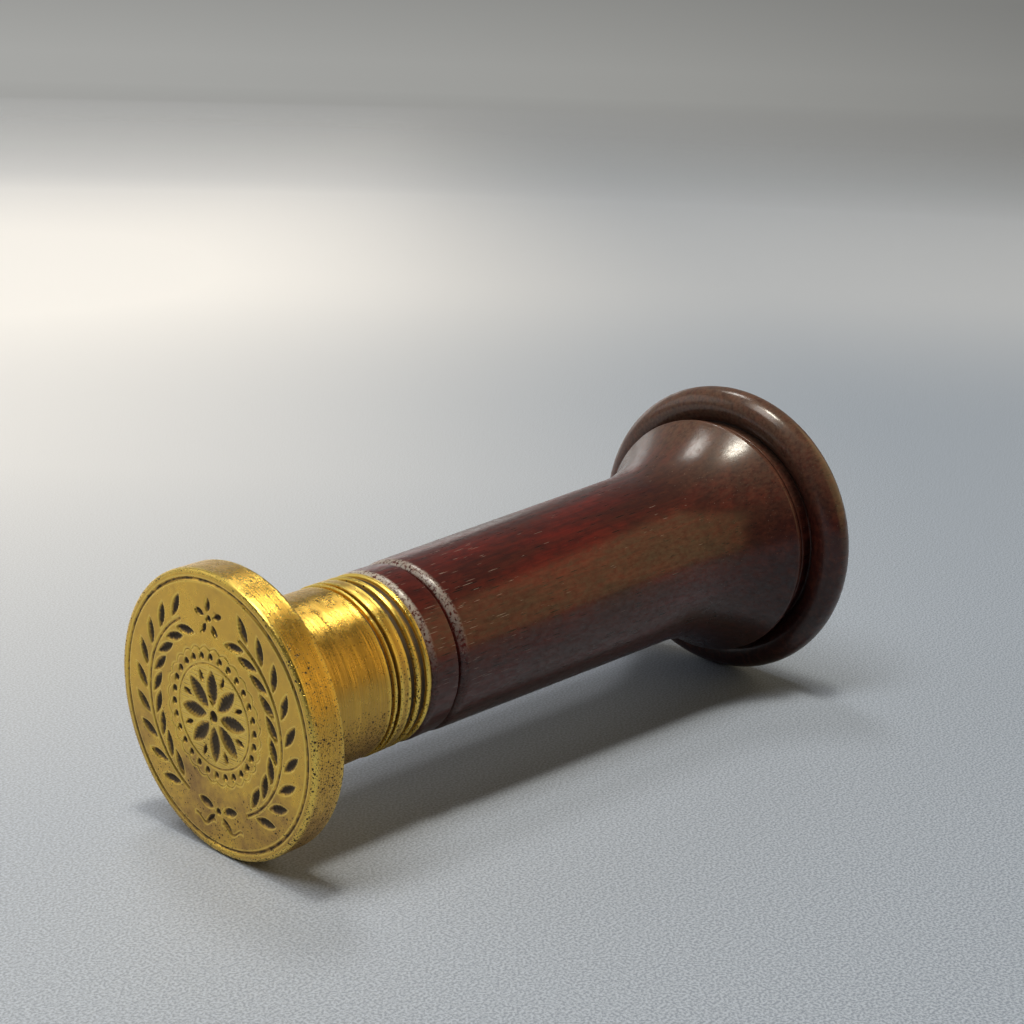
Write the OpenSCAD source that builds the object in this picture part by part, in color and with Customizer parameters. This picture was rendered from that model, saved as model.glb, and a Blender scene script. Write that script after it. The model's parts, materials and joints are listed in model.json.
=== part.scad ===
// Desk seal: a turned hardwood handle with a brass ferrule and an engraved brass die.
// Every piece is turned about Z with the die's face at z = 0, then laid on its side along X,
// so that it rests on the edge of the die and on the rim of the handle.

/* [Die] */
// Diameter of the engraved disc
die_d = 32; // [26:0.5:44]
// Thickness of the disc
die_t = 4.2; // [2.5:0.1:7]
// Rounding of the disc's two edges
die_edge_r = 0.5; // [0.2:0.05:1]
// Diameter of the neck behind the disc
neck_d = 19.8; // [16:0.1:24]
// Length of the neck, from the disc to the ferrule
neck_len = 12.1; // [8:0.1:24]
// Fillet between the neck and the disc
neck_fillet_r = 0.6; // [0.2:0.1:2]

/* [Engraving] */
// Depth of the leaf and petal cuts
cut_depth = 0.5; // [0.2:0.05:0.8]
// From the edge of the disc to the middle of the border line
border_inset = 1.1; // [0.8:0.1:3]
// Width of the border line
border_w = 0.5; // [0.2:0.05:1]
// Plain field between the border line and the outer leaves
field_w = 0.9; // [0.5:0.1:3]
// Length of one wreath leaf
leaf_len = 3.3; // [2:0.1:4]
// Width of one wreath leaf
leaf_w = 1.15; // [0.6:0.05:1.5]
// Angle between a leaf and the stem
leaf_splay = 32; // [20:1:45]
// Pairs of leaves on each of the two branches
leaf_pairs = 9; // [5:1:10]
// Width of the stem line
stem_w = 0.45; // [0.2:0.05:0.8]
// Petals of the rosette
petals = 8; // [5:1:10]
// Length of one petal
petal_len = 4.4; // [3:0.1:5]
// Width of one petal
petal_w = 1.9; // [0.8:0.05:2]
// Length of the small cut between two petals
sepal_len = 1.6; // [0.8:0.1:2]
// Diameter of the rosette's eye
eye_d = 1.3; // [0.8:0.1:2.4]
// Plain metal between one cut and the next
land_w = 0.3; // [0.15:0.05:0.6]
// Width of the ring line round the rosette
ring_line_w = 0.3; // [0.15:0.05:0.6]
// Diameter of one bead of the ring round the rosette
bead_d = 0.8; // [0.4:0.05:1.2]
// Beads in that ring
beads = 28; // [12:1:32]

/* [Ferrule] */
// Outer diameter of the ferrule's rings
ferrule_d = 20.1; // [17:0.1:24]
// Wall left between the bore and the grooves
ferrule_wall = 1.4; // [0.8:0.1:2.5]
// Depth of the grooves
ferrule_groove_depth = 0.65; // [0.2:0.05:1]
// Width of each of the two wide grooves
ferrule_groove_w = 0.9; // [0.4:0.05:2]
// Width of each of the two fine grooves, before and behind the fine bead
fine_groove_w = 0.4; // [0.2:0.05:1]
// Width of the fine bead next to the neck
fine_bead_w = 0.45; // [0.3:0.05:1]
// Width of the plain band
band_w = 1.55; // [0.8:0.1:5]
// Width of each of the two ring beads next to the wood
ring_bead_w = 0.7; // [0.4:0.05:1.5]

/* [Handle collar] */
// Diameter of the wooden collar behind the ferrule
collar_d = 20.3; // [18:0.1:26]
// Length of the collar, up to its score line
collar_len = 4.05; // [3:0.1:12]
// Rounding of the collar's front edge
collar_edge_r = 0.9; // [0.3:0.1:1.2]
// Width of the score line behind the collar
score_w = 0.5; // [0.3:0.05:1.5]
// Depth of the score line
score_depth = 0.7; // [0.3:0.05:1.5]

/* [Handle shaft] */
// Diameter of the shaft behind the score line
shaft_d = 20.7; // [19:0.1:28]
// Diameter of the shaft where the flare starts
shaft_end_d = 22.8; // [19:0.1:28]
// Length of the shaft, from the score line to the flare
shaft_len = 42; // [20:0.5:80]
// Rounding of the shaft's front shoulder
shoulder_r = 1.2; // [0.4:0.1:2.5]
// Length of the flare
flare_len = 16; // [8:0.5:24]
// Diameter of the flare's lip
lip_d = 32.8; // [29:0.2:34]
// Thickness of the lip
lip_t = 0.6; // [0.3:0.05:1.5]

/* [Handle rim] */
// Greatest diameter of the half-round rim
rim_d = 40.6; // [35:0.2:46]
// Thickness of the rim along the axis
rim_t = 5; // [3:0.1:6]
// Depth of the quirk between the lip and the rim
quirk_depth = 0.9; // [0.4:0.05:1.5]
// Width of the quirk
quirk_w = 2.2; // [1:0.1:3]
// Width of the thin ridge in the middle of the quirk
ridge_w = 0.45; // [0.3:0.05:0.8]
// Height of the domed end
dome_h = 1; // [0.5:0.1:3]

/* [Tang] */
// Diameter of the stud that joins the die to the handle
tang_d = 6; // [4:0.5:8]
// Depth of the stud in the die
tang_in_die = 9; // [6:0.5:11]
// Depth of the stud in the wood
tang_in_wood = 20; // [12:0.5:34]
// Chamfer on both ends of the stud
tang_chamfer = 0.6; // [0.2:0.1:1]

/* [Fits] */
// Radial clearance of the stud in its holes
tang_clearance = 0.06; // [0.02:0.01:0.2]
// Radial clearance of the wooden spigot in the ferrule
spigot_clearance = 0.06; // [0.02:0.01:0.2]
// Air left in front of the spigot and behind the stud
end_clearance = 0.3; // [0.1:0.05:1]

/* [Hidden] */
$fn = 96;
cutter_fn = 40;
die_r = die_d / 2;
neck_r = neck_d / 2;
ferrule_r = ferrule_d / 2;
groove_r = ferrule_r - ferrule_groove_depth;
spigot_bore_r = groove_r - ferrule_wall;
spigot_r = spigot_bore_r - spigot_clearance;
collar_r = collar_d / 2;
shaft_r = shaft_d / 2;
shaft_end_r = shaft_end_d / 2;
lip_r = lip_d / 2;
quirk_r = lip_r - quirk_depth;
rim_r = rim_d / 2;
rim_round_r = rim_t / 2;
rim_mid_r = rim_r - rim_round_r;
tang_r = tang_d / 2;
tang_hole_r = tang_r + tang_clearance;

// Places along the axis, from the die's face to the domed end
ferrule_len = 2 * (fine_groove_w + ferrule_groove_w + ring_bead_w) + fine_bead_w + band_w;
ferrule_z = die_t + neck_len;
fine_end_z = ferrule_z + fine_groove_w + fine_bead_w;
band_z = fine_end_z + fine_groove_w;
groove_z = band_z + band_w;
collar_z = ferrule_z + ferrule_len;
score_z = collar_z + collar_len;
shaft_z = score_z + score_w;
flare_z = shaft_z + shaft_len;
lip_z = flare_z + flare_len;
quirk_z = lip_z + lip_t;
rim_z = quirk_z + quirk_w;
rim_mid_z = rim_z + rim_round_r;
end_z = rim_z + rim_t;

// The flare's hollow is one arc that leaves the shaft smoothly and ends at the lip
flare_rise = lip_r - shaft_end_r;
flare_arc_r = (flare_len * flare_len + flare_rise * flare_rise) / (2 * flare_rise);

// The domed end is a shallow cap inside the rim
dome_arc_r = (rim_mid_r * rim_mid_r + dome_h * dome_h) / (2 * dome_h);

// Engraving, from the border inwards and from the centre outwards
border_r = die_r - border_inset;
leaf_reach = leaf_len * sin(leaf_splay);
stem_r = border_r - border_w / 2 - field_w - leaf_reach - leaf_w / 2 - land_w - stem_w / 2;
leaf_base = stem_w / 2 + land_w;
petal_base = eye_d / 2 + land_w;
ring_line_r = petal_base + petal_len + land_w + ring_line_w / 2;
bead_ring_r = ring_line_r + ring_line_w / 2 + land_w + bead_d / 2;
branch_start = -64;
branch_end = 64;
leaf_step = (branch_end - branch_start) / leaf_pairs;
cut_over = 0.1;

// Rest on the ground: the tangent under the die's edge and under the rim sets the slope of the axis
die_rest_z = rim_r > die_r ? die_edge_r : die_t - die_edge_r;
die_rest_r = die_r - die_edge_r;
rest_run = rim_mid_z - die_rest_z;
rest_drop = rim_mid_r - die_rest_r;
rest_span = sqrt(rest_run * rest_run + rest_drop * rest_drop);
tilt = atan2(rest_drop, rest_run) + asin((rim_round_r - die_edge_r) / rest_span);
face_h = die_edge_r + die_rest_r * cos(tilt) - die_rest_z * sin(tilt);

// Reach of the tilted seal along X, which centres it over the origin
x_low = die_edge_r * (cos(tilt) - 1) - die_rest_r * abs(sin(tilt));
x_dome = (end_z + dome_h - dome_arc_r) * cos(tilt) + dome_arc_r;
x_rim = rim_mid_z * cos(tilt) + rim_mid_r * abs(sin(tilt)) + rim_round_r;
x_high = max(x_dome, x_rim);

// Turns the lathe axis down to X, with the die's face towards -X and the engraving upright
module lay_down() {
    translate([-(x_low + x_high) / 2, 0, face_h])
        rotate([0, 90 - tilt, 0])
            children();
}

// A turned step from z to z + len, in the half plane of radius and axis
module step(r, z, len) {
    translate([0, z])
        square([r, len]);
}

// A round moulding whose middle stands at radius r
module round_at(r, z, round_r) {
    translate([r, z])
        circle(round_r);
}

// A graver's cut along +Y, pointed at both ends and V-shaped across: the common part of two
// spheres whose middles stand off the face, with its length, width and depth given at the face
module graver_cut(start, len, w, depth = cut_depth) {
    run = len / 2;
    half_w = w / 2;
    keel_r = (run * run / depth + depth) / 2;
    lift = keel_r - depth;
    aside = (run * run - half_w * half_w) / (2 * half_w);
    ball_r = sqrt(keel_r * keel_r + aside * aside);
    translate([0, start + run, 0])
        intersection() {
            translate([-len, -len, -cut_over])
                cube([2 * len, 2 * len, depth + 2 * cut_over]);
            translate([-aside, 0, -lift])
                rotate([0, 90, 0])
                    sphere(ball_r, $fn = cutter_fn);
            translate([aside, 0, -lift])
                rotate([0, 90, 0])
                    sphere(ball_r, $fn = cutter_fn);
        }
}

// A V-shaped line of width w cut round the axis
module line_cut(r, w, sweep = 360) {
    half_w = w / 2;
    rotate_extrude(angle = sweep)
        polygon([
            [r - half_w - cut_over, -cut_over],
            [r + half_w + cut_over, -cut_over],
            [r, half_w],
        ]);
}

// A round dimple
module dimple(d) {
    sphere(d / 2, $fn = cutter_fn);
}

// A flower of like cuts round a dimple
module flower_cuts(count, eye, len, w) {
    dimple(eye);
    for (i = [0 : count - 1])
        rotate(i * 360 / count)
            graver_cut(eye / 2 + land_w, len, w);
}

// The rosette in the middle, with its ring line and beads
module rosette_cuts() {
    flower_cuts(petals, eye_d, petal_len, petal_w);
    for (i = [0 : petals - 1])
        rotate((i + 0.5) * 360 / petals)
            graver_cut(petal_base + petal_len - sepal_len, sepal_len, sepal_len * 0.4);
    line_cut(ring_line_r, ring_line_w);
    for (i = [0 : beads - 1])
        rotate(i * 360 / beads)
            translate([bead_ring_r, 0, 0])
                dimple(bead_d);
}

// One branch of the wreath: a stem along an arc with a pair of leaves at each step
module branch_cuts() {
    rotate(branch_start)
        line_cut(stem_r, stem_w, branch_end - branch_start);
    for (i = [0 : leaf_pairs - 1], side = [-1, 1])
        rotate(branch_start + (i + 0.5) * leaf_step)
            translate([stem_r - side * leaf_base, 0, 0])
                rotate(side * leaf_splay)
                    graver_cut(0, leaf_len, leaf_w);
}

// The whole engraving, drawn with its top towards +Y: border, rosette, two branches,
// a tied bow where the branches start and a small flower where they end
module engraving() {
    line_cut(border_r, border_w);
    rosette_cuts();
    for (flip = [0, 1])
        mirror([flip, 0, 0])
            branch_cuts();
    translate([0, stem_r, 0])
        flower_cuts(5, bead_d, 0.5 * leaf_len, 0.7 * leaf_w);
    translate([0, -stem_r, 0]) {
        dimple(bead_d);
        for (side = [-1, 1]) {
            rotate(side * 75)
                graver_cut(bead_d / 2 + land_w, 0.8 * leaf_len, leaf_w);
            rotate(side * 130)
                graver_cut(bead_d / 2 + land_w, 0.7 * leaf_len, 0.6 * leaf_w);
        }
    }
}

// Brass disc and neck, turned in one piece and tapped from behind for the stud
module seal_die() {
    color("goldenrod")
        lay_down()
            difference() {
                rotate_extrude()
                    difference() {
                        union() {
                            step(die_rest_r, 0, die_t);
                            step(die_r, die_edge_r, die_t - 2 * die_edge_r);
                            round_at(die_rest_r, die_edge_r, die_edge_r);
                            round_at(die_rest_r, die_t - die_edge_r, die_edge_r);
                            step(neck_r, die_t, neck_len);
                            step(neck_r + neck_fillet_r, die_t, neck_fillet_r);
                        }
                        round_at(neck_r + neck_fillet_r, die_t + neck_fillet_r, neck_fillet_r);
                        step(tang_hole_r, ferrule_z - tang_in_die, tang_in_die + end_clearance);
                    }
                rotate(90)
                    engraving();
            }
}

// A bead of width w that stands on the ferrule's grooves and ends at z
module ferrule_bead(z, w) {
    step(ferrule_r - w / 2, z - w, w);
    round_at(ferrule_r - w / 2, z - w / 2, w / 2);
}

// Brass collar with turned beads and grooves, held between the neck and the wood
module ferrule() {
    color("darkgoldenrod")
        lay_down()
            rotate_extrude()
                difference() {
                    union() {
                        step(groove_r, ferrule_z, ferrule_len);
                        step(ferrule_r, band_z, band_w);
                        ferrule_bead(fine_end_z, fine_bead_w);
                        for (i = [1, 2])
                            ferrule_bead(groove_z + i * (ferrule_groove_w + ring_bead_w), ring_bead_w);
                    }
                    step(spigot_bore_r, ferrule_z - end_clearance, ferrule_len + 2 * end_clearance);
                }
}

// Steel stud, screwed home in the die and into the end grain of the handle
module tang_stud() {
    color("slategray")
        lay_down()
            translate([0, 0, ferrule_z - tang_in_die])
                rotate_extrude()
                    polygon([
                        [0, 0],
                        [tang_r - tang_chamfer, 0],
                        [tang_r, tang_chamfer],
                        [tang_r, tang_in_die + tang_in_wood - tang_chamfer],
                        [tang_r - tang_chamfer, tang_in_die + tang_in_wood],
                        [0, tang_in_die + tang_in_wood],
                    ]);
}

// The wood in front of the flare: spigot, collar with its score line, and shaft
module shaft_profile() {
    step(spigot_r, ferrule_z + end_clearance, ferrule_len);
    step(collar_r - collar_edge_r, collar_z, collar_len);
    step(collar_r, collar_z + collar_edge_r, collar_len - collar_edge_r);
    round_at(collar_r - collar_edge_r, collar_z + collar_edge_r, collar_edge_r);
    step(collar_r - score_depth, score_z, score_w);
    step(shaft_r - shoulder_r, shaft_z, shoulder_r);
    round_at(shaft_r - shoulder_r, shaft_z + shoulder_r, shoulder_r);
    polygon([
        [0, shaft_z + shoulder_r],
        [shaft_r, shaft_z + shoulder_r],
        [shaft_end_r, flare_z],
        [0, flare_z],
    ]);
}

// The wood behind the shaft: flare, lip, ridged quirk, half-round rim and domed end
module rim_profile() {
    difference() {
        step(lip_r, flare_z, flare_len);
        round_at(shaft_end_r + flare_arc_r, flare_z, flare_arc_r);
    }
    step(lip_r, lip_z, lip_t);
    step(quirk_r, quirk_z, quirk_w + rim_round_r);
    step(quirk_r + ridge_w, quirk_z + (quirk_w - ridge_w) / 2, ridge_w);
    round_at(rim_mid_r, rim_mid_z, rim_round_r);
    step(rim_mid_r, rim_mid_z, rim_round_r);
    intersection() {
        round_at(0, end_z + dome_h - dome_arc_r, dome_arc_r);
        step(rim_mid_r, end_z - rim_round_r, rim_round_r + dome_h);
    }
}

// Hardwood handle, turned in one piece and drilled for the stud
module handle() {
    color("saddlebrown")
        lay_down()
            rotate_extrude()
                difference() {
                    union() {
                        shaft_profile();
                        rim_profile();
                    }
                    step(tang_hole_r, ferrule_z, tang_in_wood + end_clearance);
                }
}

seal_die();
ferrule();
tang_stud();
handle();
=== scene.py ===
import json
import math

import bpy
import numpy as np
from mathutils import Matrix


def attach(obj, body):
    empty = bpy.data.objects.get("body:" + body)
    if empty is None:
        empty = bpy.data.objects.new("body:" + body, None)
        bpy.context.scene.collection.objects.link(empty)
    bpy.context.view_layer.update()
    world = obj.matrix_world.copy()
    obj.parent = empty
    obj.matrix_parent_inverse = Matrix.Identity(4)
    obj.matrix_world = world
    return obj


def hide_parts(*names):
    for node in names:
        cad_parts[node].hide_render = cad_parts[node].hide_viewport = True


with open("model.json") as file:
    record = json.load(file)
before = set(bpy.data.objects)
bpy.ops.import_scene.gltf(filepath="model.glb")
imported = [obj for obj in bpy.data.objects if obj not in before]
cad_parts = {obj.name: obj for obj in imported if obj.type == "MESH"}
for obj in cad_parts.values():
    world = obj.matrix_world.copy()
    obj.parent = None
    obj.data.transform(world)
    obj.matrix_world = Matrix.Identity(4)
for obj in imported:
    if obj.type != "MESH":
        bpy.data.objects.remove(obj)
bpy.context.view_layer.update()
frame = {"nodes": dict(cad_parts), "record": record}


# Handle: one length of dark red hardwood, turned between centres, varnished and darkened by the
# hand, with painted shade on its underside and a painted sheen on the top of its flare. A spigot
# at its front goes into the ferrule, and a hole up its axis takes the stud.
MM = 0.001
ON_AXIS = 1e-9
face_mount = frame["record"]["mounts"][0]
face_at = np.array([face_mount["pos_m"][0], 0.0, face_mount["pos_m"][2]])
axis_dir = -np.array(face_mount["axis"]) / np.linalg.norm(face_mount["axis"])
side_dir = np.array([0.0, 1.0, 0.0])
up_dir = np.cross(axis_dir, side_dir)
axis_tilt = math.atan2(axis_dir[2], axis_dir[0])


def arc(station, radius, round_r, start, end, steps):
    """Profile points on a circle about (station, radius): centre + round_r * (cos, sin) of the
    angle, which runs from start to end in degrees."""
    turn = np.radians(np.linspace(start, end, steps))
    return np.stack([station + round_r * np.cos(turn), radius + round_r * np.sin(turn)], axis=1)


def softened(corners, ease):
    """Profile line through corners with each inner corner eased: from A before it to B after it
    runs the curve (1 - t)^2 A + 2 t (1 - t) corner + t^2 B."""
    line = np.asarray(corners, float)
    before, corner, after = line[:-2], line[1:-1], line[2:]
    back, ahead = before - corner, after - corner
    back_len = np.linalg.norm(back, axis=1, keepdims=True)
    ahead_len = np.linalg.norm(ahead, axis=1, keepdims=True)
    start = corner + back / back_len * np.minimum(ease, 0.45 * back_len)
    end = corner + ahead / ahead_len * np.minimum(ease, 0.45 * ahead_len)
    t = np.linspace(0, 1, 6)[None, :, None]
    eased = (1 - t) ** 2 * start[:, None] + 2 * t * (1 - t) * corner[:, None] + t**2 * end[:, None]
    return np.concatenate([line[:1], eased.reshape(-1, 2), line[-1:]])


def stepped(line, longest):
    """The same profile line with points added, so that no step along it is over longest."""
    run = np.linalg.norm(np.diff(line, axis=0), axis=1)
    line = line[np.append(run > 1e-6, True)]
    leg = np.diff(line, axis=0)
    parts = np.ceil(np.linalg.norm(leg, axis=1) / longest).astype(int)
    first = np.repeat(np.cumsum(parts) - parts, parts)
    share = (np.arange(parts.sum()) - first) / np.repeat(parts, parts)
    points = np.repeat(line[:-1], parts, axis=0) + share[:, None] * np.repeat(leg, parts, axis=0)
    return np.concatenate([points, line[-1:]])


def profile_normals(line):
    """Outward normals of a profile: its tangent turned a quarter to the left."""
    tangent = np.gradient(line, axis=0)
    tangent /= np.linalg.norm(tangent, axis=1, keepdims=True) + 1e-12
    return np.stack([-tangent[:, 1], tangent[:, 0]], axis=1)


def hollowness(line, reach):
    """How far each profile point lies under (+) or over (-) the mean of the profile within reach
    of it, measured along the outward normal, in mm."""
    length = np.append(0, np.cumsum(np.linalg.norm(np.diff(line, axis=0), axis=1)))
    step = 0.04
    fine = np.arange(0, length[-1], step)
    even = np.stack([np.interp(fine, length, line[:, k]) for k in (0, 1)], axis=1)
    half = int(reach / step)
    window = np.ones(2 * half + 1) / (2 * half + 1)
    padded = np.pad(even, ((half, half), (0, 0)), mode="edge")
    mean = np.stack([np.convolve(padded[:, k], window, mode="valid") for k in (0, 1)], axis=1)
    under = ((mean - even) * profile_normals(even)).sum(axis=1)
    return np.interp(length, fine, under)


def spun(line, segments):
    """A profile turned about the seal's axis: face centre + station * axis + radius *
    (cos t * up + sin t * side). Gives points and normals as arrays of rings."""
    t = 2 * np.pi * np.arange(segments) / segments
    spoke = np.cos(t)[:, None] * up_dir + np.sin(t)[:, None] * side_dir
    out = profile_normals(line)
    points = face_at + MM * (line[:, :1, None] * axis_dir + line[:, 1:, None] * spoke[None])
    normals = out[:, :1, None] * axis_dir + out[:, 1:, None] * spoke[None]
    return points, normals


def worn(points, normals, seed, wobble, dents, reach, depth):
    """Moves points inwards: by a slow sum of sines of up to 2 * wobble, and at random dents by
    depth * exp(-(distance / reach)^2). Lengths are in mm."""
    wave_count, wave_len = 6, 9 * MM
    draw = np.random.default_rng(seed)
    waves = draw.normal(size=(wave_count, 3)) / wave_len
    phase = draw.uniform(0, 2 * np.pi, wave_count)
    inward = wobble * MM * (1 + np.sin(points @ waves.T + phase).mean(axis=-1))
    flat = points.reshape(-1, 3)
    for spot in flat[draw.integers(0, len(flat), dents)]:
        size = draw.uniform(0.4, 1.0)
        gap = np.linalg.norm(points - spot, axis=-1) / (size * reach * MM)
        inward = inward + size * depth * MM * np.exp(-(gap**2))
    return points - normals * inward[..., None]


def ring_faces(counts, closed=False):
    """Faces between neighbouring rings of 1, n or 2n points: fans at a pole, quads between equal
    rings, and three triangles for each step where the count doubles or halves."""
    starts = np.cumsum(counts) - counts
    order = list(range(len(counts))) + ([0] if closed else [])
    quads, triangles = [], []
    for a, b in zip(order[:-1], order[1:]):
        few = min(counts[a], counts[b])
        if few == 1:
            i = np.arange(max(counts[a], counts[b]))
            j = (i + 1) % len(i)
            pole = np.full(len(i), starts[a if counts[a] == 1 else b])
            rim = starts[b if counts[a] == 1 else a]
            triangles.append(
                np.stack([pole, rim + i, rim + j] if counts[a] == 1 else [rim + i, pole, rim + j], 1)
            )
            continue
        i = np.arange(few)
        j = (i + 1) % few
        if counts[a] == counts[b]:
            quads.append(np.stack([starts[a] + i, starts[b] + i, starts[b] + j, starts[a] + j], 1))
        elif counts[a] < counts[b]:
            low, mid, high = starts[b] + 2 * i, starts[b] + 2 * i + 1, starts[b] + 2 * j
            one, two = starts[a] + i, starts[a] + j
            triangles += [np.stack(c, 1) for c in ((one, low, mid), (one, mid, two), (two, mid, high))]
        else:
            low, mid, high = starts[a] + 2 * i, starts[a] + 2 * i + 1, starts[a] + 2 * j
            one, two = starts[b] + i, starts[b] + j
            triangles += [np.stack(c, 1) for c in ((low, one, mid), (mid, one, two), (mid, two, high))]
    return [row for block in quads + triangles for row in block.tolist()]


def ring_piece(name, rings, marks, closed=False):
    """A smooth closed mesh from rings of points, with named numbers kept on its points."""
    mesh = bpy.data.meshes.new(name)
    counts = np.array([len(ring) for ring in rings])
    mesh.from_pydata(np.concatenate(rings).tolist(), [], ring_faces(counts, closed))
    for mark, values in marks.items():
        flat = np.concatenate(values).astype(np.float32)
        mesh.attributes.new(mark, "FLOAT", "POINT").data.foreach_set("value", flat)
    mesh.shade_smooth()
    piece = bpy.data.objects.new(name, mesh)
    bpy.context.scene.collection.objects.link(piece)
    return piece


def turned_piece(name, line, segments, wear, closed=False, hollow_reach=0.7):
    """A worn lathe piece from its profile in mm. Points on the axis become single poles."""
    fresh, normals = spun(line, segments)
    off_axis = line[:, 1] > ON_AXIS
    points = np.where(off_axis[:, None, None], worn(fresh, normals, **wear), fresh)
    hollow = hollowness(line, hollow_reach)
    sizes = np.where(off_axis, segments, 1)
    rings = [ring[:n] for ring, n in zip(points, sizes)]
    marks = {"hollow": [np.full(n, value) for value, n in zip(hollow, sizes)]}
    return ring_piece(name, rings, marks, closed)


ferrule_z, ferrule_len, collar_len, score_w = 16.3, 6.0, 4.05, 0.5
shaft_len, flare_len, lip_t, quirk_w, rim_round_r = 42.0, 16.0, 0.6, 2.2, 2.5
collar_r, score_depth, shaft_r, shaft_end_r = 10.15, 0.7, 10.35, 11.4
lip_r, quirk_depth, ridge_w, rim_mid_r, dome_h = 16.4, 0.9, 0.45, 17.8, 1.0
collar_edge_r, shoulder_r = 0.9, 1.2
spigot_r, stud_hole_r, stud_in_wood, end_gap = 7.94, 3.06, 20.3, 0.3
collar_z = ferrule_z + ferrule_len
score_z = collar_z + collar_len
shaft_z = score_z + score_w
flare_z = shaft_z + shaft_len
lip_z = flare_z + flare_len
quirk_z = lip_z + lip_t
rim_z = quirk_z + quirk_w
rim_mid_z = rim_z + rim_round_r
end_z = rim_mid_z + rim_round_r
score_r, quirk_r = collar_r - score_depth, lip_r - quirk_depth
ridge_z = quirk_z + (quirk_w - ridge_w) / 2
stud_hole_end = ferrule_z + stud_in_wood
flare_run, flare_rise = lip_z - flare_z, lip_r - shaft_end_r
flare_arc_r = (flare_run**2 + flare_rise**2) / (2 * flare_rise)
flare_sweep = math.degrees(math.asin(flare_run / flare_arc_r))
dome_arc_r = (rim_mid_r**2 + dome_h**2) / (2 * dome_h)
dome_sweep = math.degrees(math.asin(rim_mid_r / dome_arc_r))
rim_start = math.degrees(math.asin((quirk_r - rim_mid_r) / rim_round_r))
rim_foot_z = rim_mid_z - rim_round_r * math.cos(math.radians(rim_start))
handle_line = np.concatenate([
    softened(
        [
            [stud_hole_end, 0], [stud_hole_end, stud_hole_r], [ferrule_z + end_gap, stud_hole_r],
            [ferrule_z + end_gap, spigot_r], [collar_z, spigot_r], [collar_z, collar_r - collar_edge_r],
        ],
        ease=0.1,
    )[:-1],
    arc(collar_z + collar_edge_r, collar_r - collar_edge_r, collar_edge_r, 180, 90, 10),
    softened(
        [
            [collar_z + 1, collar_r], [score_z, collar_r], [score_z + 0.05, score_r],
            [shaft_z, score_r - 0.05], [shaft_z, shaft_r - shoulder_r],
        ],
        ease=0.14,
    )[:-1],
    arc(shaft_z + shoulder_r, shaft_r - shoulder_r, shoulder_r, 172, 92, 12),
    arc(flare_z, shaft_end_r + flare_arc_r, flare_arc_r, -90, -90 + flare_sweep, 26)[:-1],
    softened(
        [
            [lip_z - 0.3, lip_r - 0.21], [lip_z, lip_r], [quirk_z, lip_r], [quirk_z + 0.08, quirk_r],
            [ridge_z - 0.03, quirk_r], [ridge_z, quirk_r + ridge_w],
            [ridge_z + ridge_w, quirk_r + ridge_w], [ridge_z + ridge_w + 0.03, quirk_r],
            [rim_foot_z, quirk_r],
        ],
        ease=0.13,
    ),
    arc(rim_mid_z, rim_mid_r, rim_round_r, 180 - rim_start, 4, 40),
    arc(end_z + dome_h - dome_arc_r, 0, dome_arc_r, dome_sweep, 0, 14),
])
handle_line[-1, 1] = 0
handle = turned_piece(
    "turned_handle",
    stepped(handle_line, longest=1.1),
    segments=288,
    wear=dict(seed=3, wobble=0.012, dents=70, reach=1.1, depth=0.06),
)


def shade(tree, kind, inputs=None, **fields):
    """Adds one shader node, sets its fields, and fills or links its inputs."""
    made = tree.nodes.new("ShaderNode" + kind)
    for field, value in fields.items():
        setattr(made, field, value)
    for key, value in (inputs or {}).items():
        if isinstance(value, bpy.types.NodeSocket):
            tree.links.new(value, made.inputs[key])
        else:
            made.inputs[key].default_value = value
    return made


def seal_space(tree):
    """Object coordinates turned to the seal: mm along the axis from the face, to the side and up."""
    place = shade(tree, "TexCoord").outputs["Object"]
    turned = shade(
        tree,
        "Mapping",
        {
            "Vector": place,
            "Location": face_at.tolist(),
            "Rotation": (0, -axis_tilt, 0),
            "Scale": (MM, MM, MM),
        },
        vector_type="TEXTURE",
    )
    return turned.outputs["Vector"]


def stretched(tree, space, scale):
    """Seal coordinates scaled along the axis, to the side and up."""
    return shade(tree, "Mapping", {"Vector": space, "Scale": scale}).outputs["Vector"]


def noise(tree, space, scale, detail=4.0, rough=0.55, twist=0.0):
    """Fractal noise from 0 to 1, with scale in features per mm."""
    made = shade(
        tree,
        "TexNoise",
        {"Vector": space, "Scale": scale, "Detail": detail, "Roughness": rough, "Distortion": twist},
    )
    return made.outputs["Fac"]


def cells(tree, space, scale):
    """Distance to the nearest of scattered points, and that point's own random colour."""
    made = shade(tree, "TexVoronoi", {"Vector": space, "Scale": scale})
    return made.outputs["Distance"], made.outputs["Color"]


def math_of(tree, operation, *values, clamp=False):
    """One sum, product, power or other operation on numbers."""
    made = shade(tree, "Math", dict(enumerate(values)), operation=operation, use_clamp=clamp)
    return made.outputs[0]


def ranged(tree, value, low, high, to_low=0.0, to_high=1.0, ease="LINEAR"):
    """A number mapped from low..high to to_low..to_high and held inside it."""
    span = {0: value, 1: low, 2: high, 3: to_low, 4: to_high}
    return shade(tree, "MapRange", span, interpolation_type=ease).outputs[0]


def tinted(tree, share, first, second):
    """A colour between first and second."""
    made = shade(tree, "Mix", {0: share, 6: first, 7: second}, data_type="RGBA")
    return made.outputs[2]


def mark_of(tree, mark):
    """The number of that name kept on the piece's points."""
    return shade(tree, "Attribute", attribute_name=mark).outputs["Fac"]


def new_material(name):
    """A new node material, its tree and its Principled shader, ready to link."""
    made = bpy.data.materials.new(name)
    made.use_nodes = True
    shader = made.node_tree.nodes["Principled BSDF"]
    return made, made.node_tree, shader


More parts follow.
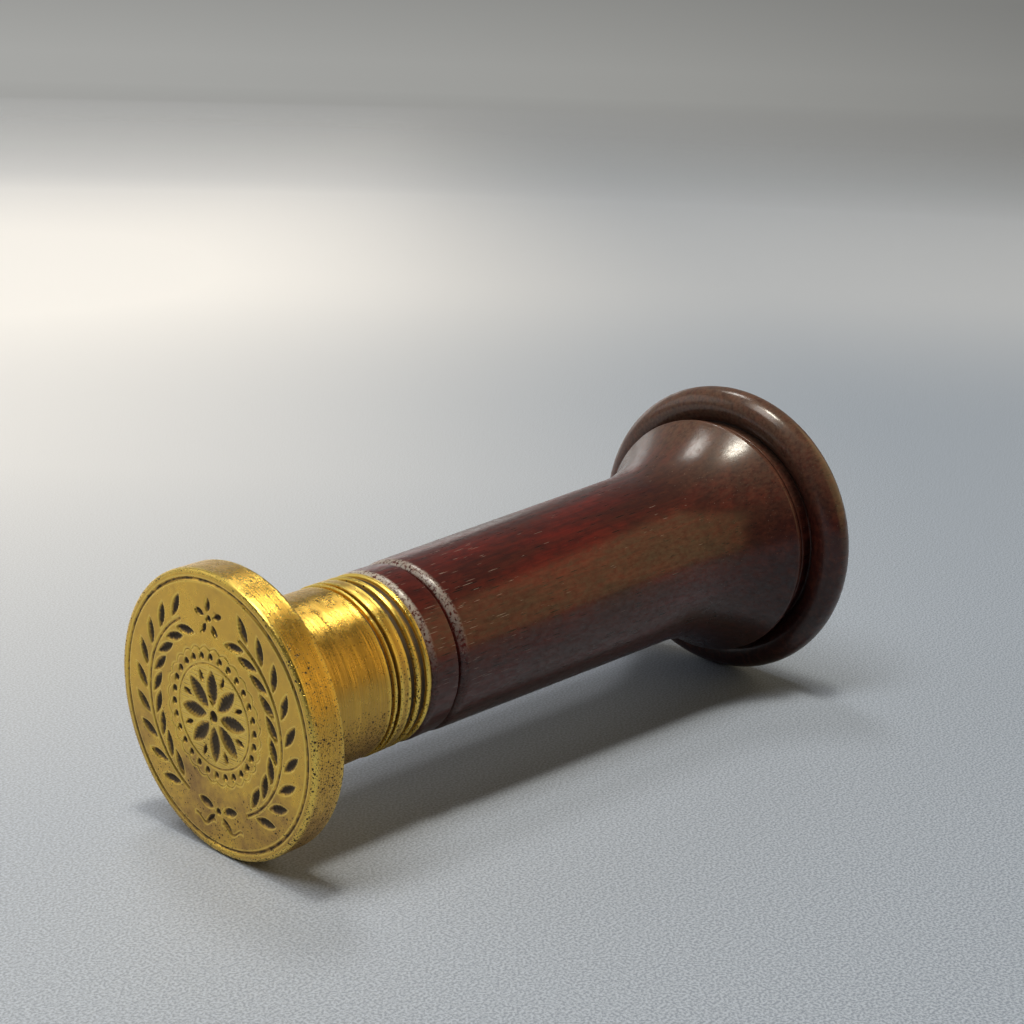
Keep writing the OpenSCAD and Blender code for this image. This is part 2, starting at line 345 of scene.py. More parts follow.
WOOD_DEEP = (0.016, 0.0036, 0.0046, 1)
WOOD_RED = (0.125, 0.0115, 0.0080, 1)
WOOD_BROWN = (0.056, 0.0145, 0.0095, 1)
WOOD_PORE = (0.009, 0.003, 0.003, 1)
WOOD_BARE = (0.54, 0.50, 0.44, 1)
LIP_WORN = (0.15, 0.045, 0.025, 1)
SCRATCH = (0.36, 0.28, 0.23, 1)
GRIME = (0.010, 0.007, 0.006, 1)
# Pale tan for the top of the flare: partly worn varnish, partly a painted sheen.
WORN_FILM_AND_SHEEN = (0.17, 0.115, 0.075, 1)
VARNISH_TINT = (1.0, 0.93, 0.80, 1)

varnished, tree, shader = new_material("varnished_hardwood")
space = seal_space(tree)
along, _, up = shade(tree, "SeparateXYZ", {0: space}).outputs
hollow = mark_of(tree, "hollow")
figure = noise(tree, stretched(tree, space, (0.035, 0.20, 0.20)), 1.0, 3, 0.5, 0.6)
mottle = noise(tree, stretched(tree, space, (0.5, 1.1, 1.1)), 1.0, 4, 0.6, 0.3)
grain = noise(tree, stretched(tree, space, (0.14, 2.6, 2.6)), 1.0, 5, 0.6, 0.15)
patch = noise(tree, stretched(tree, space, (0.06, 0.24, 0.24)), 1.0, 3)
scuffs = noise(tree, stretched(tree, space, (1.0, 2.2, 2.2)), 1.0, 4, 0.65)
from_pith = {0: stretched(tree, space, (0.02, 1, 1)), 1: (0, 31, -17)}
ring_age = shade(tree, "VectorMath", from_pith, operation="DISTANCE").outputs["Value"]
growth = noise(tree, ring_age, 0.55, 2)
pore_far, pore_own = cells(tree, stretched(tree, space, (0.40, 4.4, 4.4)), 1.0)
pore_luck = shade(tree, "SeparateColor", {0: pore_own}).outputs[0]
pore_room = ranged(tree, patch, 0.38, 0.68, 0.20, 0.48)
pore_size = math_of(tree, "MULTIPLY", pore_room, ranged(tree, pore_luck, 0.38, 0.9))
pores = ranged(tree, math_of(tree, "SUBTRACT", pore_size, pore_far), 0.0, 0.10)
near_front = ranged(tree, along, shaft_z + 16, shaft_z + 1, 0.93, 0.83)
near_flare = ranged(tree, along, flare_z - 6, flare_z + 4, 0.96, 0.94)
rarity = math_of(tree, "MINIMUM", near_front, near_flare)
scratches = 0.0
for stretch in ((0.25, 7.5, 7.5), (0.5, 9.0, 9.0)):
    scratch_far, scratch_own = cells(tree, stretched(tree, space, stretch), 1.0)
    scratch_luck = shade(tree, "SeparateColor", {0: scratch_own}).outputs[1]
    scratch_size = ranged(tree, math_of(tree, "SUBTRACT", scratch_luck, rarity), 0.0, 0.08, 0.0, 0.30)
    scratch = ranged(tree, math_of(tree, "SUBTRACT", scratch_size, scratch_far), 0.0, 0.08)
    scratches = math_of(tree, "MAXIMUM", scratch, scratches)
grimy = ranged(tree, hollow, 0.05, 0.22)
rubbed = ranged(tree, hollow, -0.03, -0.085)
rub_grit = ranged(tree, noise(tree, space, 3.2, 3), 0.38, 0.52)
on_edge = ranged(tree, along, collar_z + 1.8, collar_z + 0.8)
past_score = ranged(tree, along, score_z + 0.2, shaft_z)
on_shoulder = math_of(tree, "MULTIPLY", past_score, ranged(tree, along, flare_z, shaft_z + 3))
rub_and_glint = math_of(tree, "MULTIPLY", rubbed, math_of(tree, "MAXIMUM", on_edge, on_shoulder))
rub_and_glint = math_of(tree, "MULTIPLY", rub_and_glint, rub_grit)
# The rings are worn to bare wood all round; as a painted highlight, the pale shows mostly on top, where
# the light catches it, and fades below.
rub_and_glint = math_of(tree, "MULTIPLY", rub_and_glint, ranged(tree, up, 1, 9.5, 0.06, 1.0))
lip_rub = math_of(tree, "MULTIPLY", rubbed, ranged(tree, along, flare_z, lip_z - 1))
lip_rub = math_of(tree, "MULTIPLY", lip_rub, ranged(tree, patch, 0.42, 0.6))
tone = tinted(tree, ranged(tree, figure, 0.38, 0.62), WOOD_BROWN, WOOD_RED)
tone = tinted(tree, ranged(tree, along, shaft_z + 14, collar_z, 0.0, 0.6), tone, WOOD_RED)
tone = tinted(tree, ranged(tree, along, flare_z - 4, lip_z, 0.0, 0.7), tone, WOOD_BROWN)
# Painted shade: the wood turns darker towards its underside, where shade falls.
tone = tinted(tree, ranged(tree, up, 4, -7, 0.0, 0.7), tone, WOOD_DEEP)
tone = tinted(tree, ranged(tree, mottle, 0.56, 0.34, 0.0, 0.45), tone, WOOD_DEEP)
tone = tinted(tree, ranged(tree, grain, 0.60, 0.38, 0.0, 0.40), tone, WOOD_DEEP)
tone = tinted(tree, ranged(tree, growth, 0.56, 0.40, 0.0, 0.38), tone, WOOD_DEEP)
tone = tinted(tree, math_of(tree, "MULTIPLY", pores, 0.9), tone, WOOD_PORE)
on_flare = ranged(tree, along, flare_z, lip_z - 2)
# Partly worn varnish, partly painted sheen: a pale tan film on the upper side of the flare, strongest
# on top where the light falls.
film_and_sheen = math_of(tree, "MULTIPLY", ranged(tree, up, 5, 15, 0.0, 0.48), on_flare)
film_and_sheen = math_of(tree, "MULTIPLY", film_and_sheen, ranged(tree, scuffs, 0.36, 0.60, 0.35, 1.0))
tone = tinted(tree, film_and_sheen, tone, WORN_FILM_AND_SHEEN)
near_rim = ranged(tree, along, flare_z, rim_mid_z, 0.0, 0.25)
rim_rub = math_of(tree, "MULTIPLY", near_rim, ranged(tree, mottle, 0.48, 0.66))
tone = tinted(tree, rim_rub, tone, LIP_WORN)
tone = tinted(tree, math_of(tree, "MULTIPLY", rub_and_glint, 0.85), tone, WOOD_BARE)
tone = tinted(tree, math_of(tree, "MULTIPLY", lip_rub, 0.22), tone, LIP_WORN)
scratches = math_of(tree, "MULTIPLY", scratches, ranged(tree, up, -5, 3, 0.1, 0.55))
tone = tinted(tree, scratches, tone, SCRATCH)
tone = tinted(tree, grimy, tone, GRIME)
rough = ranged(tree, scuffs, 0.35, 0.65, 0.42, 0.54)
rough = math_of(tree, "ADD", rough, math_of(tree, "MULTIPLY", grimy, 0.4))
rough = math_of(tree, "ADD", rough, math_of(tree, "MULTIPLY", pores, 0.2))
ripple = noise(tree, space, 0.45, 4)
relief = math_of(tree, "MULTIPLY", ripple, 0.5)
relief = math_of(tree, "SUBTRACT", relief, math_of(tree, "MULTIPLY", pores, 0.5))
relief = math_of(tree, "ADD", relief, math_of(tree, "MULTIPLY", scuffs, 0.22))
bump = shade(tree, "Bump", {"Height": relief, "Strength": 0.35, "Distance": 0.12 * MM})
tree.links.new(tone, shader.inputs["Base Color"])
tree.links.new(rough, shader.inputs["Roughness"])
varnish = ranged(tree, math_of(tree, "ADD", scuffs, grimy), 0.36, 0.64, 0.85, 0.45)
tree.links.new(varnish, shader.inputs["Coat Weight"])
tree.links.new(bump.outputs["Normal"], shader.inputs["Normal"])
shader.inputs["Specular IOR Level"].default_value = 0.12
shader.inputs["Coat Roughness"].default_value = 0.20
shader.inputs["Specular Tint"].default_value = VARNISH_TINT
handle.data.materials.append(varnished)
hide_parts("handle")
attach(handle, "root")


# Stud: a plain steel pin, screwed home in the die and into the end grain of the handle. It is
# hidden once the seal is together, so the solid itself serves.
STEEL_PALE = (0.52, 0.51, 0.50, 1)
STEEL_DARK = (0.22, 0.21, 0.20, 1)
stud_steel, tree, shader = new_material("turned_steel")
space = seal_space(tree)
tool_lines = noise(tree, stretched(tree, space, (7.0, 0.2, 0.2)), 1.0, 3)
tree.links.new(tinted(tree, tool_lines, STEEL_DARK, STEEL_PALE), shader.inputs["Base Color"])
tree.links.new(ranged(tree, tool_lines, 0.3, 0.7, 0.3, 0.45), shader.inputs["Roughness"])
shader.inputs["Metallic"].default_value = 1.0
stud = frame["nodes"]["tang_stud"]
stud.data.materials.clear()
stud.data.materials.append(stud_steel)


# Ferrule: a brass ring turned with one fine bead, a plain band, and two ring beads, all between
# grooves that have filled with dirt. It keeps the end of the wood from splitting.
bore_r, ferrule_r, groove_depth = 8.0, 10.05, 0.65
fine_gap, fine_w, band_w, groove_w, ring_w = 0.4, 0.45, 1.55, 0.9, 0.7
groove_r = ferrule_r - groove_depth
fine_z = ferrule_z + fine_gap
band_z = fine_z + fine_w + fine_gap
wide_z = band_z + band_w
ring_z = wide_z + groove_w
last_z = ring_z + ring_w + groove_w


def bead(start, width):
    """A half-round bead of that width on the ferrule, from its foot before to its foot behind."""
    half = width / 2
    round_top = arc(start + half, ferrule_r - half, half, 176, 4, 14)
    return np.concatenate([[[start, groove_r]], round_top, [[start + width, groove_r]]])


ferrule_line = np.concatenate([
    [[ferrule_z, bore_r], [ferrule_z, groove_r]],
    bead(fine_z, fine_w),
    softened(
        [
            [fine_z + fine_w + 0.05, groove_r], [band_z - 0.02, groove_r], [band_z, ferrule_r],
            [wide_z, ferrule_r], [wide_z + 0.05, groove_r], [ring_z - 0.05, groove_r],
        ],
        ease=0.12,
    ),
    bead(ring_z, ring_w),
    bead(last_z, ring_w)[:-1],
    [[collar_z, bore_r], [collar_z - 2, bore_r], [ferrule_z + 2, bore_r]],
])
ferrule = turned_piece(
    "turned_ferrule",
    stepped(ferrule_line, longest=0.6),
    segments=320,
    wear=dict(seed=5, wobble=0.01, dents=60, reach=0.5, depth=0.07),
    closed=True,
    hollow_reach=0.8,
)

BRASS_CLEAN = (0.78, 0.485, 0.080, 1)
BRASS_RUBBED = (0.92, 0.67, 0.15, 1)
BRASS_TARNISH = (0.405, 0.240, 0.088, 1)
BRASS_PIT = (0.055, 0.032, 0.014, 1)
BRASS_DIRT = (0.085, 0.060, 0.034, 1)


def aged_brass():
    """Shader group for old brass: golden metal with tarnish in patches, dark pits whose number
    follows Pitting, dirt where Hollow is high, and rubbed metal where Rub is high."""
    group = bpy.data.node_groups.new("aged_brass", "ShaderNodeTree")
    for name in ("Hollow", "Rub", "Pitting", "Patina_and_shade", "Turned"):
        group.interface.new_socket(name, in_out="INPUT", socket_type="NodeSocketFloat")
    group.interface.new_socket("Colour", in_out="OUTPUT", socket_type="NodeSocketColor")
    for name in ("Roughness", "Metallic", "Height"):
        group.interface.new_socket(name, in_out="OUTPUT", socket_type="NodeSocketFloat")
    given = group.nodes.new("NodeGroupInput").outputs
    space = seal_space(group)
    stain = noise(group, space, 0.16, 5, 0.6, 0.3)
    cloud = noise(group, space, 0.9, 5, 0.6)
    speckle = noise(group, space, 4.0, 3)
    lathe_lines = noise(group, stretched(group, space, (10.0, 0.03, 0.03)), 1.0, 2, 0.6)
    uneven = ranged(group, noise(group, space, 0.42, 3), 0.3, 0.7, -0.3, 0.3)
    spread = math_of(group, "ADD", given["Pitting"], uneven)
    pits = 0.0
    for scale, largest in ((1.7, 0.30), (3.4, 0.38), (6.0, 0.40)):
        far, own = cells(group, space, scale)
        lucky = shade(group, "SeparateColor", {0: own}).outputs[0]
        size = ranged(group, math_of(group, "SUBTRACT", spread, lucky), 0.0, 0.6, 0.0, largest)
        size = math_of(group, "MULTIPLY", size, ranged(group, speckle, 0.3, 0.7, 0.6, 1.2))
        pit = ranged(group, math_of(group, "SUBTRACT", size, far), 0.0, 0.09)
        pits = math_of(group, "MAXIMUM", pit, pits)
    clouded = math_of(group, "ADD", stain, math_of(group, "MULTIPLY", cloud, 0.5))
    stained = ranged(group, clouded, 0.55, 0.95)
    tarnish = math_of(group, "MULTIPLY", stained, given["Patina_and_shade"], clamp=True)
    settled = math_of(group, "MULTIPLY", given["Hollow"], ranged(group, cloud, 0.25, 0.6, 0.75, 1.3))
    dirt = ranged(group, settled, 0.2, 0.8)
    line_tone = ranged(group, lathe_lines, 0.40, 0.60, 0.30, 0.0)
    line_tone = math_of(group, "MULTIPLY", line_tone, given["Turned"])
    colour = tinted(group, tarnish, BRASS_CLEAN, BRASS_TARNISH)
    colour = tinted(group, line_tone, colour, BRASS_TARNISH)
    colour = tinted(group, given["Rub"], colour, BRASS_RUBBED)
    colour = tinted(group, pits, colour, BRASS_PIT)
    colour = tinted(group, dirt, colour, BRASS_DIRT)
    rough = ranged(group, cloud, 0.3, 0.7, 0.21, 0.32)
    rough = math_of(group, "ADD", rough, math_of(group, "MULTIPLY", tarnish, 0.2))
    spoilt = math_of(group, "MAXIMUM", pits, dirt)
    rough = math_of(group, "ADD", rough, math_of(group, "MULTIPLY", spoilt, 0.4), clamp=True)
    metal = math_of(group, "SUBTRACT", 1.0, math_of(group, "MULTIPLY", spoilt, 0.8))
    height = math_of(group, "MULTIPLY", lathe_lines, math_of(group, "MULTIPLY", given["Turned"], 3.4))
    height = math_of(group, "ADD", height, math_of(group, "MULTIPLY", cloud, 0.1))
    grit = math_of(group, "MULTIPLY", speckle, math_of(group, "MULTIPLY", given["Pitting"], 0.7))
    height = math_of(group, "ADD", height, grit)
    height = math_of(group, "SUBTRACT", height, math_of(group, "MULTIPLY", pits, 0.8))
    put = group.nodes.new("NodeGroupOutput").inputs
    found = {"Colour": colour, "Roughness": rough, "Metallic": metal, "Height": height}
    for name, socket in found.items():
        group.links.new(socket, put[name])
    return group


brass_group = aged_brass()


def brass_of(name):
    """A material of aged brass: the material, its tree and the group's inputs, still to be filled."""
    made, tree, shader = new_material(name)
    brass = shade(tree, "Group", node_tree=brass_group)
    relief = {"Height": brass.outputs["Height"], "Strength": 0.5, "Distance": 0.1 * MM}
    bump = shade(tree, "Bump", relief)
    tree.links.new(brass.outputs["Colour"], shader.inputs["Base Color"])
    tree.links.new(brass.outputs["Roughness"], shader.inputs["Roughness"])
    tree.links.new(brass.outputs["Metallic"], shader.inputs["Metallic"])
    tree.links.new(bump.outputs["Normal"], shader.inputs["Normal"])
    return made, tree, brass.inputs


def lower_half(tree, top, bottom, high, low):
    """A number that runs from high at the top to low at the bottom, in mm up from the axis."""
    up = shade(tree, "SeparateXYZ", {0: seal_space(tree)}).outputs["Z"]
    return ranged(tree, up, top, bottom, high, low)


ferrule_brass, tree, brass = brass_of("ferrule_brass")
hollow = mark_of(tree, "hollow")
tree.links.new(ranged(tree, hollow, 0.04, 0.16), brass["Hollow"])
tree.links.new(ranged(tree, hollow, -0.02, -0.10), brass["Rub"])
# Tarnish heavier towards the bottom: partly tarnish, partly painted shade for the darker olive
# underside.
tree.links.new(lower_half(tree, 6, -8, 0.5, 1.0), brass["Patina_and_shade"])
tree.links.new(lower_half(tree, 8, -4, 0.40, 1.2), brass["Pitting"])
brass["Turned"].default_value = 0.7
ferrule.data.materials.append(ferrule_brass)
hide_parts("ferrule")
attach(ferrule, "root")


# Die: a brass disc and its neck, turned in one piece and drilled from behind for the stud. The
# face is cut by hand with gravers and punches, and dark patina has stayed in the cuts.
die_r, edge_r, die_t, neck_r, fillet_r = 16.0, 0.5, 4.2, 9.9, 0.6
hole_end = ferrule_z - 9
cut_depth, land, border_r, border_w = 0.5, 0.3, 14.9, 0.5
eye_r, petals, petal_len, petal_w, sepal_len = 0.65, 8, 4.4, 1.9, 1.6
ring_line_r, ring_line_w, bead_ring_r, bead_r, beads = 5.8, 0.3, 6.65, 0.4, 28
stem_r, stem_w, leaf_len, leaf_w, leaf_splay, leaf_pairs = 10.90, 0.45, 3.3, 1.15, 32, 9
branch_span = 128
chatter_depth, chatter_pitch, chatter_slant, chatter_full = 0.05, 0.44, 0.7, 0.15
ribbon_y, ribbon_swing, ribbon_bend, ribbon_half_w = -12.5, 0.4, 2.1, 0.2
ribbon_start, ribbon_end = 0.5, 4.0
scallop_r, scallop_swing, scallop_half_w = 7.32, 0.38, 0.12
hatch_swing, hatch_pitch, hatch_drop, hatch_margin, hatch_clear = 0.10, 0.5, 0.03, 0.3, 0.12


def graver_cut(x, y, at, turn, start, length, width, depth=cut_depth):
    """Depth of a pointed V cut: sqrt(R^2 - (|across| + aside)^2 - along^2) - lift, the common part
    of two balls that stand off the face, with the graver's small chatter marks along it. Its local
    upward direction is turned from +y."""
    cos, sin = math.cos(math.radians(turn)), math.sin(math.radians(turn))
    across = (x - at[0]) * cos + (y - at[1]) * sin
    along = -(x - at[0]) * sin + (y - at[1]) * cos - start - length / 2
    run, half = length / 2, width / 2
    keel = (run**2 / depth + depth) / 2
    aside = (run**2 - half**2) / (2 * half)
    ball = keel**2 + aside**2
    cut = np.sqrt(np.maximum(ball - (np.abs(across) + aside) ** 2 - along**2, 0)) - (keel - depth)
    chatter = np.cos(2 * np.pi * (along - chatter_slant * np.abs(across)) / chatter_pitch)
    return cut + chatter_depth * chatter * np.clip(cut / chatter_full, 0, 1)


def dimple(x, y, at, radius):
    """Depth of a punched ball: sqrt(r^2 - distance^2), carried on below the face outside it."""
    far = np.hypot(x - at[0], y - at[1])
    return np.where(far < radius, np.sqrt(np.maximum(radius**2 - far**2, 0)), radius - far)


def line_cut(far, radius, width):
    """Depth of a V line round the middle: half its width less the distance from its middle."""
    return width / 2 - np.abs(far - radius)


def flower(x, y, at, eye, count, length, width):
    """A dimple with like cuts round it: the deepest of them all."""
    cuts = [dimple(x, y, at, eye)]
    cuts += [graver_cut(x, y, at, 360 * k / count, eye + land, length, width) for k in range(count)]
    return np.max(cuts, axis=0)


def branch(x, y, flip):
    """A stem line along an arc with a pair of leaves at each step, or its mirror image."""
    x = flip * x
    far, bearing = np.hypot(x, y), np.degrees(np.arctan2(y, x))
    stem = np.where(np.abs(bearing) < branch_span / 2, line_cut(far, stem_r, stem_w), -1.0)
    cuts = [stem]
    for k in range(leaf_pairs):
        turn = -branch_span / 2 + (k + 0.5) * branch_span / leaf_pairs
        spoke = np.array([math.cos(math.radians(turn)), math.sin(math.radians(turn))])
        for side in (-1, 1):
            at = (stem_r - side * (stem_w / 2 + land)) * spoke
            cuts.append(graver_cut(x, y, at, turn + side * leaf_splay, 0, leaf_len, leaf_w))
    return np.max(cuts, axis=0)


def ribbon(x, y, flip):
    """A wavy line under the bow, y = ribbon_y + swing * sin(bend * x), from its middle out to one
    side."""
    wave = ribbon_y + ribbon_swing * np.sin(ribbon_bend * flip * x)
    inside = np.minimum(flip * x - ribbon_start, ribbon_end - flip * x)
    return np.minimum(ribbon_half_w - np.abs(y - wave), inside)


def scallops(far, bearing):
    """Small arcs round the beads: a line along the radius scallop_r + swing * |sin(n t / 2)|."""
    bulge = scallop_swing * np.abs(np.sin(beads / 2 * bearing))
    return scallop_half_w - np.abs(far - scallop_r - bulge)


def engraving(x, y):
    """Depth of the whole engraving, with its top towards +y: the deepest of all the cuts."""
    far, bearing = np.hypot(x, y), np.arctan2(y, x)
    cuts = [
        line_cut(far, border_r, border_w),
        line_cut(far, ring_line_r, ring_line_w),
        flower(x, y, (0, 0), eye_r, petals, petal_len, petal_w),
        flower(x, y, (0, stem_r), bead_r, 5, 0.5 * leaf_len, 0.7 * leaf_w),
        dimple(x, y, (0, -stem_r), bead_r),
        branch(x, y, 1),
        branch(x, y, -1),
        ribbon(x, y, 1),
        ribbon(x, y, -1),
        scallops(far, bearing),
    ]
    sepal_start = eye_r + land + petal_len - sepal_len
    for k in range(petals):
        turn = (k + 0.5) * 360 / petals
        cuts.append(graver_cut(x, y, (0, 0), turn, sepal_start, sepal_len, 0.4 * sepal_len))
    for k in range(beads):
        turn = 2 * math.pi * k / beads
        cuts.append(dimple(x, y, (bead_ring_r * math.cos(turn), bead_ring_r * math.sin(turn)), bead_r))
    bow_sizes = {75: (0.8 * leaf_len, leaf_w), 130: (0.7 * leaf_len, 0.6 * leaf_w)}
    for side in (-1, 1):
        for turn, size in bow_sizes.items():
            cuts.append(graver_cut(x, y, (0, -stem_r), side * turn, bead_r + land, *size))
    deepest = np.max(cuts, axis=0)
    hatch = hatch_swing * np.cos(2 * np.pi * y / hatch_pitch) - hatch_drop
    ground = (far < ring_line_r - hatch_margin) & (deepest < -hatch_clear)
    return np.where(ground, np.maximum(deepest, hatch), deepest)


face_radii = np.concatenate([np.arange(0.1, 14.45, 0.1), np.arange(14.5, 15.5, 0.07)])
face_counts = np.select([face_radii < 1.6, face_radii < 3.4, face_radii < 7.0], [70, 140, 280], 560)
face_sizes = np.append(1, face_counts)
face_far = np.repeat(np.append(0, face_radii), face_sizes)
face_step = np.arange(face_sizes.sum()) - np.repeat(np.cumsum(face_sizes) - face_sizes, face_sizes)
face_turn = 2 * np.pi * face_step / np.repeat(face_sizes, face_sizes)
face_x, face_y = face_far * np.sin(face_turn), face_far * np.cos(face_turn)
cut = engraving(face_x, face_y)
worn_edge = 0.05
depth = 0.5 * (cut + np.sqrt(cut**2 + worn_edge**2))
face_points = face_at + MM * (
    depth[:, None] * axis_dir + face_x[:, None] * side_dir + face_y[:, None] * up_dir
)
face_rings = np.split(face_points, np.cumsum(face_sizes)[:-1])
cut_marks = np.split(cut, np.cumsum(face_sizes)[:-1])

body_line = stepped(
    np.concatenate([
        arc(edge_r, die_r - edge_r, edge_r, 180, 90, 9),
        arc(die_t - edge_r, die_r - edge_r, edge_r, 90, 0, 9),
        [[die_t, neck_r + fillet_r + 0.1]],
        arc(die_t + fillet_r, neck_r + fillet_r, fillet_r, 180, 270, 8),
        softened(
            [
                [die_t + fillet_r + 0.1, neck_r], [ferrule_z, neck_r], [ferrule_z, stud_hole_r],
                [hole_end, stud_hole_r], [hole_end, 0],
            ],
            ease=0.12,
        ),
    ]),
    longest=0.55,
)
body_segments = 280
body_points, body_normals = spun(body_line, body_segments)
body_points = worn(body_points, body_normals, seed=11, wobble=0.012, dents=70, reach=0.7, depth=0.03)
body_sizes = np.where(body_line[:, 1] > ON_AXIS, body_segments, 1)
body_points[-1] = face_at + MM * hole_end * axis_dir
body_rings = [ring[:n] for ring, n in zip(body_points, body_sizes)]
body_hollow = [np.full(n, h) for n, h in zip(body_sizes, hollowness(body_line, reach=0.7))]
die = ring_piece(
    "engraved_die",
    face_rings + body_rings,
    {
        "hollow": [np.zeros(n) for n in face_sizes] + body_hollow,
        "cut": cut_marks + [np.full(n, -1.0) for n in body_sizes],
        "face": [np.ones(n) for n in face_sizes] + [np.zeros(n) for n in body_sizes],
    },
)

die_brass, tree, brass = brass_of("die_brass")
cut_at = mark_of(tree, "cut")
on_face = mark_of(tree, "face")
hollow = mark_of(tree, "hollow")
patchy = ranged(tree, noise(tree, seal_space(tree), 1.4, 4), 0.3, 0.7, -0.08, 0.08)
cut_dirt = ranged(tree, math_of(tree, "ADD", cut_at, patchy), 0.02, 0.34)
turned_dirt = ranged(tree, hollow, 0.05, 0.2)
tree.links.new(math_of(tree, "MAXIMUM", cut_dirt, turned_dirt), brass["Hollow"])
cut_rim = ranged(tree, cut_at, -0.22, -0.02)
cut_rim = math_of(tree, "MULTIPLY", cut_rim, ranged(tree, cut_at, 0.06, 0.0))
turned_rub = ranged(tree, hollow, -0.02, -0.12)
rub = math_of(tree, "MAXIMUM", cut_rim, turned_rub)
tree.links.new(math_of(tree, "MULTIPLY", rub, 0.8), brass["Rub"])
face_patina = math_of(tree, "MULTIPLY", on_face, 0.45)
# Tarnish heavier towards the bottom of the neck and disc: partly tarnish, partly painted shade for the
# darker olive underside; the face keeps its own even patina.
tarnish_and_shade = math_of(tree, "MAXIMUM", lower_half(tree, 4, -7, 0.12, 1.0), face_patina)
tree.links.new(tarnish_and_shade, brass["Patina_and_shade"])
along = shade(tree, "SeparateXYZ", {0: seal_space(tree)}).outputs["X"]
on_disc = ranged(tree, along, die_t + 0.2, die_t)
neck_pits = lower_half(tree, 3, -4, -0.28, 1.25)
disc_pits = lower_half(tree, 12, -8, 0.55, 1.2)
face_pits = lower_half(tree, 4, -12, 0.10, 0.5)
turned_pits = shade(tree, "Mix", {0: on_disc, 2: neck_pits, 3: disc_pits}).outputs[0]
pitting = shade(tree, "Mix", {0: on_face, 2: turned_pits, 3: face_pits}).outputs[0]
tree.links.new(pitting, brass["Pitting"])
off_face = ranged(tree, on_face, 0.9, 0.1)
turned = math_of(tree, "MULTIPLY", off_face, ranged(tree, on_disc, 0, 1, 1.0, 0.6))
tree.links.new(turned, brass["Turned"])
die.data.materials.append(die_brass)
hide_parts("seal_die")
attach(die, "root")


# Table: a pale blue-grey satin surface with a fine grain, flat under the whole seal. Far off on the
# left a pool of light and a band of reflected light are painted into its colour, and farther still
# it fades into the grey of the room.
TABLE_GREY = (0.190, 0.229, 0.297, 1)
TABLE_GRAIN = (0.392, 0.452, 0.548, 1)
TABLE_PAINTED_LIGHT = (0.88, 0.88, 0.90, 1)
table_mesh = bpy.data.meshes.new("table")
half_side = 60.0
corners = [(half_side * x, half_side * y, 0) for x, y in ((-1, -1), (1, -1), (1, 1), (-1, 1))]
table_mesh.from_pydata(corners, [], [(0, 1, 2, 3)])
table = bpy.data.objects.new("table", table_mesh)
bpy.context.scene.collection.objects.link(table)
satin, tree, shader = new_material("satin_table")
place = shade(tree, "TexCoord").outputs["Object"]
across = {0: place, 1: (0.737, 0.676, 0)}
deep = shade(tree, "VectorMath", across, operation="DOT_PRODUCT").outputs["Value"]
aside = {0: place, 1: (-0.676, 0.737, 0)}
left = shade(tree, "VectorMath", aside, operation="DOT_PRODUCT").outputs["Value"]
# Painted light: a pool of light far off on the left, painted into the table's colour.
leftness = ranged(tree, left, -0.10, 0.18, ease="SMOOTHSTEP")
painted_glow = math_of(tree, "MULTIPLY", leftness, ranged(tree, deep, -0.16, 0.14, 0.0, 0.83))
painted_glow = math_of(tree, "MULTIPLY", painted_glow, ranged(tree, deep, 0.4, 1.0, 1.0, 0.42))
# Painted reflection: a paler band across the far table, stronger on the left, as a window would show in
# the satin.
band_start = ranged(tree, deep, 0.2, 0.48, ease="SMOOTHSTEP")
band_end = ranged(tree, deep, 1.3, 0.48, 0.6, 1.0, ease="SMOOTHSTEP")
band = math_of(tree, "MULTIPLY", band_start, band_end)
band = math_of(tree, "MULTIPLY", band, ranged(tree, leftness, 0.0, 1.0, 0.27, 0.34))
speckle = noise(tree, place, 3500, 2)
grey = tinted(tree, ranged(tree, speckle, 0.38, 0.62), TABLE_GREY, TABLE_GRAIN)
painted_light = math_of(tree, "ADD", painted_glow, band, clamp=True)
tree.links.new(tinted(tree, painted_light, grey, TABLE_PAINTED_LIGHT), shader.inputs["Base Color"])
outward = shade(tree, "VectorMath", {0: place}, operation="LENGTH").outputs["Value"]
nearness = math_of(tree, "DIVIDE", 1.0, outward)
tree.links.new(ranged(tree, nearness, 0.2, 1.1), shader.inputs["Alpha"])
shader.inputs["Roughness"].default_value = 0.5
table_mesh.materials.append(satin)


# Light: a long soft box overhead with a small bright one beside it, another high behind, windows at
# the left and far behind the table, a warm card at the right, and a plain grey room.
def soft_box(name, azimuth, elevation, distance, size, power, colour=(1, 1, 1), middle=(0, 0, 0.02)):
    """A rectangular lamp that looks at a middle point from azimuth and elevation in degrees."""
    lamp = bpy.data.lights.new(name, "AREA")
    lamp.shape = "RECTANGLE"
    lamp.size, lamp.size_y = size
    lamp.energy = power
    lamp.color = colour
    made = bpy.data.objects.new(name, lamp)
    az, el = math.radians(azimuth), math.radians(elevation)
    away = np.array([math.cos(el) * math.cos(az), math.cos(el) * math.sin(az), math.sin(el)])
    made.location = np.array(middle) + distance * away
    made.rotation_euler = (math.pi / 2 - el, 0, az + math.pi / 2)
    made.visible_camera = False
    bpy.context.scene.collection.objects.link(made)


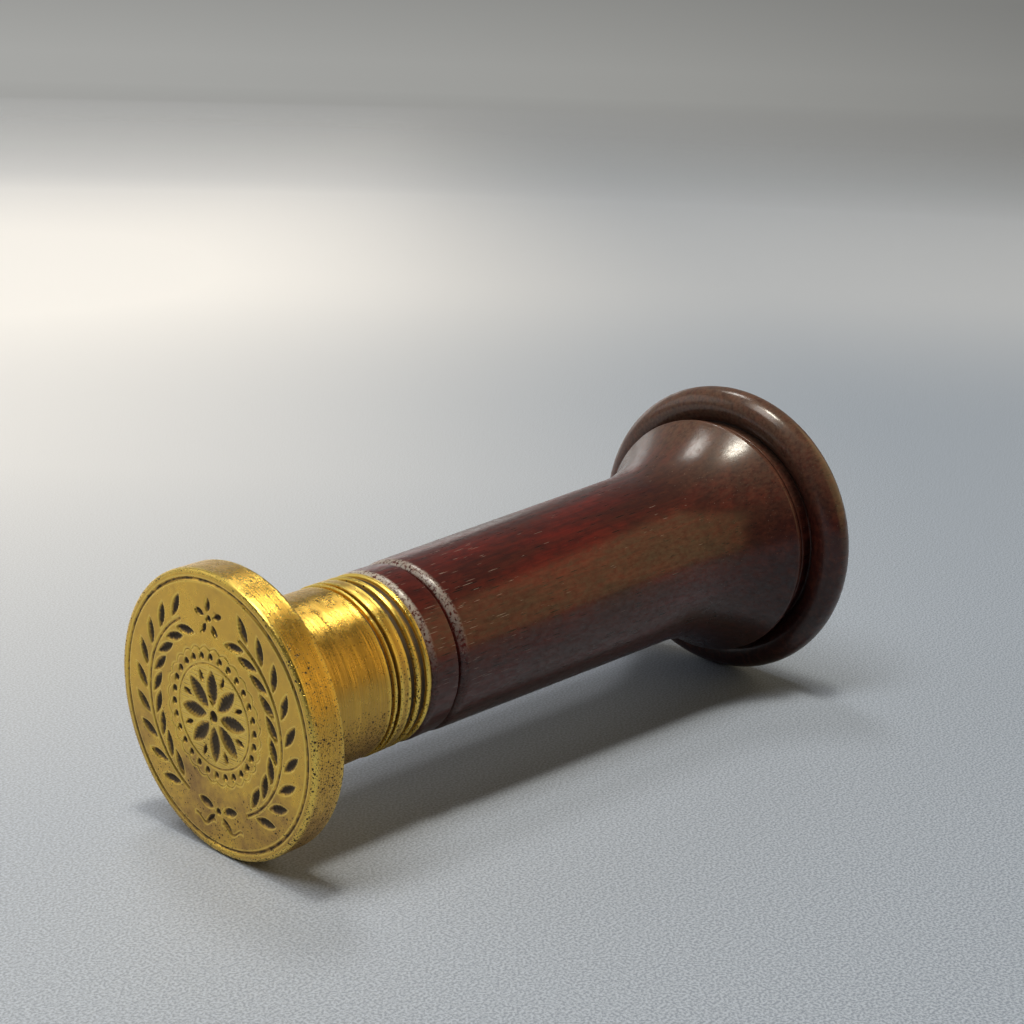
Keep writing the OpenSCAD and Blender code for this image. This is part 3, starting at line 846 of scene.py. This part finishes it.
soft_box("overhead_box", 170, 69, 3.1, (0.9, 1.9), 48, (1.0, 0.97, 0.91))
soft_box("overhead_core", 206, 85.5, 3.0, (0.36, 0.46), 36, (1.0, 0.93, 0.78))
soft_box("warm_card", -38, 22, 3.0, (4.4, 2.3), 29, (1.0, 0.735, 0.34))
soft_box("high_box", 62, 62, 3.0, (0.60, 0.60), 15.0, (1.0, 0.97, 0.91))
soft_box("left_window", 124, 26, 3.0, (2.2, 1.4), 9.0, (1.0, 0.99, 0.97))
soft_box("far_window", 66, 9, 3.0, (2.2, 0.7), 4.0, (1.0, 0.985, 0.96))

ROOM_DARK = (0.03, 0.03, 0.03, 1)
ROOM_DIM = (0.035, 0.035, 0.035, 1)
ROOM_GREY = (0.22, 0.22, 0.21, 1)
ROOM_LIT = (0.40, 0.40, 0.385, 1)
room = bpy.data.worlds.new("room")
room.use_nodes = True
bpy.context.scene.world = room
tree = room.node_tree
direction = shade(tree, "TexCoord").outputs["Generated"]
height = shade(tree, "SeparateXYZ", {0: direction}).outputs["Z"]
lit_side = math.radians(75)
aim = (math.cos(lit_side), math.sin(lit_side), 0.0)
to_lit = shade(tree, "VectorMath", {0: direction, 1: aim}, operation="DOT_PRODUCT").outputs["Value"]
wall = tinted(tree, ranged(tree, to_lit, -0.3, 0.6), ROOM_DIM, ROOM_GREY)
wall = tinted(tree, ranged(tree, to_lit, 0.6, 1.0), wall, ROOM_LIT)
wall = tinted(tree, ranged(tree, height, 0.0, 0.04, 0.0, 0.2), wall, ROOM_DARK)
wall = tinted(tree, ranged(tree, height, 0.30, 0.75, 0.0, 0.7), wall, ROOM_DARK)
tree.links.new(wall, tree.nodes["Background"].inputs["Color"])


# Camera: in front of the die and to one side, a little above the seal, where the photograph was
# taken from. The colours are shown as they are, with no film look.
camera = bpy.data.cameras.new("camera")
camera.sensor_width = 36
camera.lens = 59.766
camera.clip_start = 0.01
viewer = bpy.data.objects.new("camera", camera)
viewer.location = (-0.1493, -0.1336, 0.08261)
viewer.rotation_euler = [math.radians(a) for a in (75.294, -1.857, -47.494)]
bpy.context.scene.collection.objects.link(viewer)
bpy.context.scene.camera = viewer
bpy.context.scene.view_settings.view_transform = "Standard"
